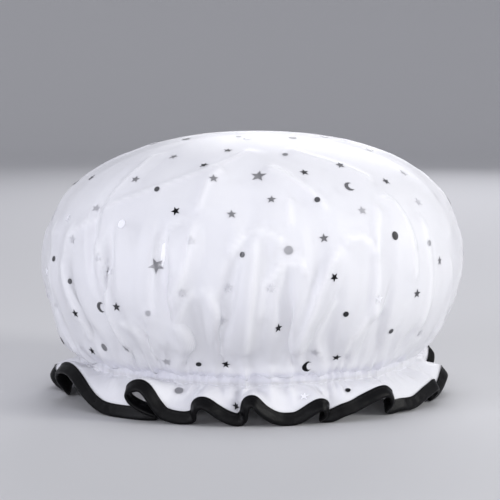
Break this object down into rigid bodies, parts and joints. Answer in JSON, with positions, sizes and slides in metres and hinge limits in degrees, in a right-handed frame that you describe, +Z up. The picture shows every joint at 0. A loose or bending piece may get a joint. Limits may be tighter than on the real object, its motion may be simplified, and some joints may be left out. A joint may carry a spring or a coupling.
{
  "type": "shower cap",
  "caption": "Puffed double-layer shower cap: sheer cover over a waterproof lining, elastic in a stitched casing and a fluted ruffle bound in dark satin tape. Keeps hair dry.",
  "frame": {"origin": "on the table under the middle of the crown, at the bottom centre of the cap's box", "axes": "+Z up through the crown, the height being the shortest side; -Y is the front that the picture shows, +X its right"},
  "size_m": [0.235, 0.235, 0.1458],
  "materials": {
    "organza": "sheer crisp white organza, scattered with silver foil stars, dots and moons",
    "film": "soft white waterproof film, slightly glossy",
    "elastic": "white braided elastic",
    "white_thread": "white polyester sewing thread",
    "satin": "black satin bias tape with a soft sheen",
    "black_thread": "black polyester sewing thread"
  },
  "bodies": {
    "root": {"outer_cover": "organza", "lining": "film", "elastic_band": "elastic", "elastic_tack": "white_thread", "upper_casing_thread": "white_thread", "lower_casing_thread": "white_thread", "upper_bobbin_thread": "white_thread", "lower_bobbin_thread": "white_thread", "rim_binding": "satin", "binding_thread": "black_thread", "binding_bobbin_thread": "black_thread"}
  },
  "joints": []
}
